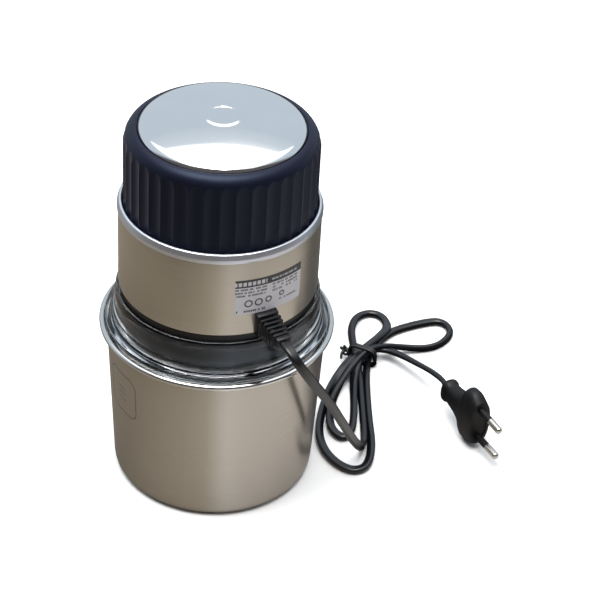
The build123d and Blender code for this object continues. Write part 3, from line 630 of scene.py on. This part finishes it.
def reliefFrame():
    # x across, y up, z out of the wall
    turn = math.radians(relief["angle"])
    out = Vector((math.sin(turn), -math.cos(turn), 0))
    across = Vector((math.cos(turn), math.sin(turn), 0))
    frameMatrix = Matrix((across, Vector((0, 0, 1)), -out)).transposed().to_4x4()
    return Matrix.Translation((0, 0, relief["height"] * mm)) @ frameMatrix


def addBlock(bm, frameMatrix, start, end, size, sizeEnd=None, shift=(0, 0), rounding=0.5):
    # a block along the frame's z with its corners rounded; distances in millimetres from the axis
    sizeEnd = sizeEnd or size
    made = bmesh.ops.create_cube(bm, size=1.0)["verts"]
    for vert in made:
        wide, tall = size if vert.co.z > 0 else sizeEnd
        along = start if vert.co.z > 0 else end
        vert.co = Vector((vert.co.x * wide + shift[0], vert.co.y * tall + shift[1], -along)) * mm
    bmesh.ops.transform(bm, matrix=frameMatrix, verts=made)
    edges = list({edge for vert in made for edge in vert.link_edges})
    bmesh.ops.bevel(bm, geom=edges, offset=rounding * mm, segments=2, profile=0.5, affect="EDGES",
                    material=-1)


def makeRelief():
    frameMatrix = reliefFrame()
    bm = bmesh.new()
    wall, end = relief["wall"], relief["end"]
    addBlock(bm, frameMatrix, wall - 0.6, wall + 3.0, relief["foot"], (11.2, 12.0), rounding=0.7)
    first = wall + 3.0
    last = end - 3.2
    addBlock(bm, frameMatrix, first - 0.5, last + 0.5, relief["core"], (6.2, 4.4), rounding=0.6)
    pitch = (last - first) / relief["ribs"]
    for index in range(relief["ribs"]):
        share = index / (relief["ribs"] - 1)
        wide, tall = (a + (b - a) * share for a, b in zip(relief["firstRib"], relief["lastRib"]))
        start = first + pitch * index + pitch * 0.42
        addBlock(bm, frameMatrix, start, start + pitch * 0.56, (wide, tall), rounding=0.35)
        side = -1 if index % 2 else 1
        for lift in (-1, 1):
            addBlock(bm, frameMatrix, start - pitch * 0.5, start + 0.2, (1.6, 1.5), rounding=0.2,
                     shift=(side * wide * 0.30, lift * tall * 0.38))
            addBlock(bm, frameMatrix, start - pitch * 0.5, start + 0.2, (1.5, tall * 0.5), rounding=0.2,
                     shift=(lift * (wide * 0.5 - 0.9), 0))
    addBlock(bm, frameMatrix, last, end, relief["collar"], (7.6, 5.4), rounding=0.9)
    makePiece(bm, "reliefBoot", "motor_unit", "black_rubber", ["strain_relief"], sharp=40)


makeRelief()


# ---- mains cord ----

# x, y and height in metres, then how far the cord leans over in degrees: on the floor it stands on
# its narrow edge, and where it crosses other strands it lies flat
cordRoute = [
    (0.0314, -0.0590, 0.1215, 0), (0.0330, -0.0620, 0.1214, 0), (0.0360, -0.0679, 0.1205, 0),
    (0.0396, -0.0706, 0.1160, 0), (0.0440, -0.0682, 0.1075, 0), (0.0503, -0.0600, 0.0930, 0),
    (0.0568, -0.0500, 0.0770, 0), (0.0626, -0.0408, 0.0605, 0), (0.0681, -0.0295, 0.0430, 0),
    (0.0730, -0.0165, 0.0250, 0), (0.0785, -0.0050, 0.0095, 0), (0.0812, 0.0035, 0.0034, 0),
    (0.0822, 0.0150, 0.0026, 0), (0.0818, 0.0430, 0.0026, 0), (0.0816, 0.0660, 0.0026, 0),
    (0.0806, 0.0830, 0.0026, 0), (0.0790, 0.0940, 0.0026, 5), (0.0780, 0.1090, 0.0025, 20),
    (0.0815, 0.1210, 0.0025, 45), (0.0890, 0.1262, 0.0023, 54), (0.0963, 0.1238, 0.0025, 54),
    (0.0998, 0.1150, 0.0030, 45), (0.0986, 0.1050, 0.0055, 60), (0.0930, 0.0955, 0.0071, 85),
    (0.0840, 0.0845, 0.0071, 90), (0.0750, 0.0740, 0.0062, 80), (0.0665, 0.0577, 0.0032, 30),
    (0.0620, 0.0450, 0.0026, 0), (0.0582, 0.0265, 0.0026, 5), (0.0574, 0.0115, 0.0025, 20),
    (0.0606, -0.0020, 0.0025, 45), (0.0682, -0.0122, 0.0023, 54), (0.0762, -0.0160, 0.0023, 54),
    (0.0832, -0.0115, 0.0025, 40), (0.0860, 0.0050, 0.0026, 10), (0.0852, 0.0240, 0.0026, 0),
    (0.0849, 0.0430, 0.0026, 0), (0.0851, 0.0670, 0.0026, 0), (0.0874, 0.0830, 0.0026, 5),
    (0.0925, 0.0955, 0.0025, 20), (0.1005, 0.1070, 0.0025, 45), (0.1100, 0.1128, 0.0023, 54),
    (0.1220, 0.1180, 0.0023, 54), (0.1305, 0.1198, 0.0025, 45), (0.1362, 0.1145, 0.0026, 15),
    (0.1362, 0.1055, 0.0026, -15), (0.1295, 0.0965, 0.0025, -45), (0.1210, 0.0925, 0.0023, -54),
    (0.1075, 0.0908, 0.0040, -65), (0.0965, 0.0870, 0.0080, -80), (0.0865, 0.0805, 0.0105, -90),
    (0.0780, 0.0710, 0.0080, -85), (0.0690, 0.0530, 0.0034, -30), (0.0650, 0.0405, 0.0026, 0),
    (0.0634, 0.0280, 0.0026, 10), (0.0645, 0.0175, 0.0026, 40), (0.0698, 0.0110, 0.0023, 54),
    (0.0742, 0.0140, 0.0026, 35), (0.0768, 0.0250, 0.0026, 5), (0.0776, 0.0430, 0.0026, 0),
    (0.0778, 0.0600, 0.0034, 20), (0.0800, 0.0715, 0.0066, 80), (0.0842, 0.0800, 0.0074, 90),
    (0.0905, 0.0858, 0.0070, 80), (0.0985, 0.0850, 0.0064, 50), (0.1062, 0.0775, 0.0082, 30),
    (0.1142, 0.0660, 0.0115, 20), (0.1213, 0.0545, 0.0152, 10), (0.1260, 0.0445, 0.0176, 0),
    (0.1283, 0.0373, 0.0177, 0), (0.1303, 0.0333, 0.0177, 0),
]
flex = {"wide": 5.1 * mm, "thick": 3.1 * mm, "groove": 0.28 * mm, "samples": 9, "across": 5.4 * mm}


def cordLine():
    # the smooth line that the cord follows
    curve = bpy.data.curves.new("cordLine", "CURVE")
    curve.dimensions = "3D"
    curve.resolution_u = flex["samples"]
    spline = curve.splines.new("NURBS")
    spline.points.add(len(cordRoute) - 1)
    for point, (x, y, z, lean) in zip(spline.points, cordRoute):
        point.co = (x, y, z, 1.0)
    spline.order_u = 3
    spline.use_endpoint_u = True
    holder = bpy.data.objects.new("cordLine", curve)
    line = bpy.data.meshes.new_from_object(holder)
    spots = [vert.co.copy() for vert in line.vertices]
    bpy.data.objects.remove(holder)
    bpy.data.meshes.remove(line)
    return spots


def leanAt(share):
    # the lean at a share of the route, from 0 to 1, between the route's points
    place = share * (len(cordRoute) - 2) + 0.5
    place = max(0.0, min(len(cordRoute) - 1.001, place))
    index = int(place)
    first, second = cordRoute[index][3], cordRoute[index + 1][3]
    return math.radians(first + (second - first) * (place - index))


def flexSection():
    # half outline of the twin cord: two round cores side by side with a groove between them
    core = flex["thick"] / 2
    offset = flex["wide"] / 2 - core
    half = [(offset + core * math.cos(turn), core * math.sin(turn))
            for turn in (math.radians(-84 + 14 * step) for step in range(13))]
    groove = core - flex["groove"]
    right = half + [(0.0, groove)]
    return right + [(-x, -y) for x, y in right]


def makeCord():
    spots = cordLine()
    length = sum((b - a).length for a, b in zip(spots, spots[1:]))
    section = flexSection()
    bm = bmesh.new()
    ahead = (spots[1] - spots[0]).normalized()
    level = ahead.cross(Vector((0, 0, 1))).normalized()
    rings = []
    for index, spot in enumerate(spots):
        last = min(index + 1, len(spots) - 1)
        tangent = (spots[last] - spots[max(index - 1, 0)]).normalized()
        level = ahead.rotation_difference(tangent) @ level
        level = (level - tangent * level.dot(tangent)).normalized()
        ahead = tangent
        lean = leanAt(index / (len(spots) - 1))
        broad = Matrix.Rotation(lean, 3, tangent) @ level
        normal = tangent.cross(broad)
        ring = bmesh.ops.create_circle(bm, segments=len(section), radius=1.0)["verts"]
        for vert, (x, y) in zip(ring, section):
            vert.co = spot + broad * x + normal * y
        rings.append(ring)
    bridged(bm, rings)
    for ring in (rings[0], rings[-1]):
        bmesh.ops.contextual_create(bm, geom=ring)
    piece = makePiece(bm, "mainsCord", None, "cord_black", ["mains_lead", "cord_hank", "cord_tail"], sharp=60)
    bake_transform(piece)
    print("cord length", round(length, 4), "rings", len(rings))
    return piece, spots, length


cordPiece, cordSpots, cordLength = makeCord()


# ---- cord tie ----

tie = {
    "x": 83.6, "y": 79.8, "wide": 16.4, "tall": 12.4, "wire": 0.95, "turn": -24, "endShare": 0.85,
    "loops": 2, "loopSteps": 12, "flat": 0.95, "square": 1.25, "spread": 3.4, "sunk": 0.2,
}


def wireTube(route, radius):
    # a smooth round wire through given points, as a mesh
    curve = bpy.data.curves.new("wire", "CURVE")
    curve.dimensions = "3D"
    curve.bevel_depth = radius
    curve.bevel_resolution = 3
    curve.use_fill_caps = True
    curve.resolution_u = 8
    spline = curve.splines.new("NURBS")
    spline.points.add(len(route) - 1)
    for point, spot in zip(spline.points, route):
        point.co = (*spot, 1.0)
    spline.order_u = 3
    spline.use_endpoint_u = True
    holder = bpy.data.objects.new("wire", curve)
    mesh = bpy.data.meshes.new_from_object(holder)
    bm = bmesh.new()
    bm.from_mesh(mesh)
    bpy.data.objects.remove(holder)
    bpy.data.meshes.remove(mesh)
    return bm


def makeTie():
    place = Matrix.Translation((tie["x"] * mm, tie["y"] * mm, 0)) @ Matrix.Rotation(
        math.radians(tie["turn"]), 4, "Z")
    loop = []
    flat, count = tie["flat"], tie["loops"] * tie["loopSteps"]
    for step in range(count):
        turn = math.tau * step / tie["loopSteps"]
        x = tie["wide"] / 2 * max(-flat, min(flat, tie["square"] * math.cos(turn)))
        z = tie["tall"] / 2 * max(-flat, min(flat, tie["square"] * math.sin(turn)))
        along = (step / count - 0.5) * tie["spread"]
        loop.append(place @ (Vector((x, along, z + tie["tall"] / 2 - tie["sunk"])) * mm))
    bm = wireTube(loop, tie["wire"] * mm)
    ends = (
        [(-7.4, -1.5, 5.5), (-8.6, -2.0, 7.0), (-9.8, 0.0, 7.6), (-11.4, 2.0, 6.4), (-13.0, 0.5, 5.2),
         (-14.2, 2.2, 5.4)],
        [(-7.4, 1.2, 6.5), (-8.6, 2.0, 4.8), (-9.8, 1.2, 4.6), (-11.0, -0.8, 6.4), (-12.0, -3.0, 5.2),
         (-11.0, -4.8, 3.0)],
        [(-7.8, 0.5, 5.0), (-9.2, -1.0, 4.0), (-10.8, -1.6, 4.2), (-12.4, 0.2, 6.6), (-11.6, 1.8, 8.0)],
    )
    for route in ends:
        spots = [place @ (Vector(spot) * mm) for spot in route]
        joinTo(bm, wireTube(spots, tie["wire"] * tie["endShare"] * mm))
    makePiece(bm, "wireTie", "bowl", "tie_black", ["cord_tie"], sharp=60)


makeTie()


# ---- plug ----

plug = {
    "x": 128.3, "y": 37.3, "z": 17.7, "pointing": -63.4, "gap": 18.0, "pinLength": 19.0, "sleeve": 9.5,
    "pinRadius": 2.0, "length": 33.5, "pinLean": 0.7,
}
# distance from the cord's end, width between the flat sides, height in the plane of the pins
plugStations = [
    (0.0, 8.4, 11.0), (0.3, 9.8, 12.8), (1.1, 10.6, 13.8), (3.0, 10.6, 13.8), (3.9, 9.8, 12.8),
    (4.9, 9.2, 12.0), (6.2, 9.4, 12.2), (9.0, 10.0, 13.4), (13.0, 10.6, 15.4), (17.0, 11.4, 18.6),
    (19.4, 12.4, 23.4), (20.6, 13.0, 29.6), (21.2, 13.3, 32.4), (22.2, 13.5, 33.8), (25.5, 13.6, 34.6),
    (27.6, 13.6, 34.4), (30.0, 13.5, 31.6), (32.8, 13.3, 28.0), (33.4, 12.6, 27.0), (33.5, 12.0, 26.2),
]


def plugFrame():
    turn = math.radians(plug["pointing"])
    out = Vector((math.cos(turn), math.sin(turn), 0))
    side = Vector((math.sin(turn), -math.cos(turn), 0))
    frameMatrix = Matrix((side, Vector((0, 0, 1)), out)).transposed().to_4x4()
    return Matrix.Translation(Vector((plug["x"], plug["y"], plug["z"])) * mm) @ frameMatrix


def makePlug():
    frameMatrix = plugFrame()
    bm = bmesh.new()
    rings = []
    for along, wide, tall in plugStations:
        ring = bmesh.ops.create_circle(bm, segments=48, radius=1.0)["verts"]
        square = 2.6 if along < 9 else 2.35
        for vert in ring:
            turn = math.atan2(vert.co.y, vert.co.x)
            x = math.copysign(abs(math.cos(turn)) ** (2 / square), math.cos(turn)) * wide / 2
            y = math.copysign(abs(math.sin(turn)) ** (2 / square), math.sin(turn)) * tall / 2
            vert.co = frameMatrix @ (Vector((x, y, along)) * mm)
        rings.append(ring)
    bridged(bm, rings)
    bmesh.ops.contextual_create(bm, geom=rings[0])
    face = bmesh.ops.contextual_create(bm, geom=rings[-1])["faces"][0]
    bmesh.ops.inset_individual(bm, faces=[face], thickness=1.6 * mm, depth=0)
    bmesh.ops.inset_individual(bm, faces=[face], thickness=0.3 * mm, depth=-0.5 * mm)
    makePiece(bm, "plugShell", "bowl", "plug_black", ["plug_body"], sharp=38)


def pinPath(low, high, radius, tip):
    # a straight pin whose end is rounded over the length of the tip
    path = [Vector((0, 0, low)) * mm, Vector((radius, 0, low)) * mm]
    for step in range(9):
        turn = math.pi / 2 * step / 8
        path.append(Vector((radius * math.cos(turn), 0, high - tip + tip * math.sin(turn))) * mm)
    return path


def makePins():
    frameMatrix = plugFrame()
    half = plug["gap"] / 2
    for name, low, high, radius, tip, slot in (
            ("pinSleeves", -1.0, plug["sleeve"], plug["pinRadius"] - 0.05, 0.1, "plug_black"),
            ("pinTips", plug["sleeve"] - 0.1, plug["pinLength"], plug["pinRadius"], 1.7, "pin_nickel")):
        bm = bmesh.new()
        for side in (-1, 1):
            part = turned(pinPath(low, high, radius, tip), 40)
            lean = Matrix.Rotation(math.radians(side * plug["pinLean"]), 4, "X")
            place = Matrix.Translation(Vector((0, side * half, plug["length"])) * mm) @ lean
            bmesh.ops.transform(part, matrix=frameMatrix @ place, verts=part.verts)
            joinTo(bm, part)
        makePiece(bm, name, "bowl", slot, ["plug_pins"] if slot == "pin_nickel" else [])


makePlug()
makePins()
print("cord, tie and plug")


# ---- floor and light ----

stage = {
    "floor": 3.0, "shade": (0.94, 0.94, 0.94),
    "sky": (0.60, 0.68, 0.75), "zenith": (1.1, 1.12, 1.14), "room": (0.11, 0.10, 0.10),
    "backdrop": (0.93, 0.94, 0.95), "glow": (1.35, 1.35, 1.35), "glowAim": (0.10, 0.46, 0.882),
    "lampAim": (0, 0, 0.1),
}
# place, size, power and colour of each lamp
lamps = {
    "overhead": ((-0.12, -0.18, 1.3), (1.0, 0.8), 21, (1.0, 0.995, 0.985)),
    "fill": ((0, 0.1, 1.7), (2.4, 2.4), 15, (1.0, 1.0, 1.0)),
}
# what the steel mirrors of the floor, by direction in degrees from the near side: painted reflection and
# painted shade standing in for the room's uneven light, darker on most sides with a brighter span from about
# 10 to 88 degrees
nearPaintedReflection = [
    (-150, (0.10, 0.086, 0.07)), (-105, (0.125, 0.107, 0.086)), (-75, (0.14, 0.12, 0.097)),
    (-28, (0.215, 0.19, 0.16)), (-6, (0.265, 0.24, 0.205)), (10, (0.43, 0.415, 0.40)),
    (25, (0.405, 0.385, 0.37)), (88, (0.41, 0.385, 0.36)), (110, (0.05, 0.045, 0.045)),
]
farPaintedReflection = [
    (-130, (0.19, 0.165, 0.135)), (-67, (0.17, 0.145, 0.115)), (-43, (0.15, 0.128, 0.102)),
    (-20, (0.18, 0.158, 0.13)), (-3, (0.25, 0.228, 0.195)), (14, (0.40, 0.385, 0.37)),
    (30, (0.37, 0.35, 0.335)), (88, (0.36, 0.34, 0.315)), (112, (0.07, 0.065, 0.06)),
]


def makeFloor():
    # near-white where it is looked at, and a dimmer warm grey in what the steel mirrors: painted reflection
    # and painted shade that vary with direction, seen by every ray that is not a camera ray, so they also
    # darken the light the floor bounces onto the pieces
    bm = bmesh.new()
    bmesh.ops.create_grid(bm, x_segments=1, y_segments=1, size=stage["floor"])
    mesh = bpy.data.meshes.new("floor")
    bm.to_mesh(mesh)
    bm.free()
    floor = bpy.data.objects.new("floor", mesh)
    bpy.context.scene.collection.objects.link(floor)
    finish = Finish("floorWithPaintedReflection", roughness=0.8, specular=0.1)
    x, y = finish.split()[:2]
    turn = finish.add("ShaderNodeMath", {"operation": "ARCTAN2"}, {0: x, 1: 0 - y})
    # two ramps of painted shade and painted highlight by direction, one near the middle and one farther out
    near, far = (finish.add("ShaderNodeValToRGB", {"stops": [
        ((degrees + 180) / 360, colour) for degrees, colour in paintedReflectionStops]}, {0: turn / math.tau + 0.5})
        for paintedReflectionStops in (nearPaintedReflection, farPaintedReflection))
    paintedShadeAndReflection = finish.mixed(((x * x + y * y) ** 0.5).over(0.20, 0.07), near, far)
    # camera rays see the plain pale floor, all other rays the painted reflection
    seen = finish.add("ShaderNodeLightPath")
    finish.set("colour", finish.mixed(seen, paintedShadeAndReflection, stage["shade"]))
    mesh.materials.append(finish.material)


def addLight(name, place, size, power, colour):
    data = bpy.data.lights.new(name, "AREA")
    data.shape = "RECTANGLE"
    data.size, data.size_y = size
    data.energy = power
    data.color = colour
    light = bpy.data.objects.new(name, data)
    bpy.context.scene.collection.objects.link(light)
    light.location = place
    light.rotation_euler = (Vector(stage["lampAim"]) - Vector(place)).to_track_quat("-Z", "Y").to_euler()


def makeSky():
    # a pale sky overhead and beyond the object, and a dim room on the near side
    world = bpy.data.worlds.new("studio")
    bpy.context.scene.world = world
    world.use_nodes = True
    sky = Finish.__new__(Finish)
    sky.tree = world.node_tree
    direction = sky.add("ShaderNodeTexCoord", output="Generated")
    parts = sky.add("ShaderNodeSeparateXYZ", inputs={0: direction}).socket.node.outputs
    y, z = Wire(sky, parts[1]), Wire(sky, parts[2])
    upward = sky.mixed(z.over(0.78, 0.34), stage["sky"], stage["zenith"])
    colour = sky.mixed((y + z * 0.55).over(0.12, 0.35), stage["room"], upward)
    aim = sky.add("ShaderNodeVectorMath", {"operation": "DOT_PRODUCT"},
                  {0: direction, 1: stage["glowAim"]}, output=1)
    colour = sky.mixed(aim.over(0.972, 0.05), colour, stage["glow"])
    seen = sky.add("ShaderNodeLightPath")
    colour = sky.mixed(seen, colour, stage["backdrop"])
    sky.tree.links.new(colour.socket, sky.tree.nodes["Background"].inputs["Color"])


makeFloor()
makeSky()
for lampName, values in lamps.items():
    addLight(lampName, *values)
bpy.context.scene.view_settings.view_transform = "Standard"
print("stage ready")
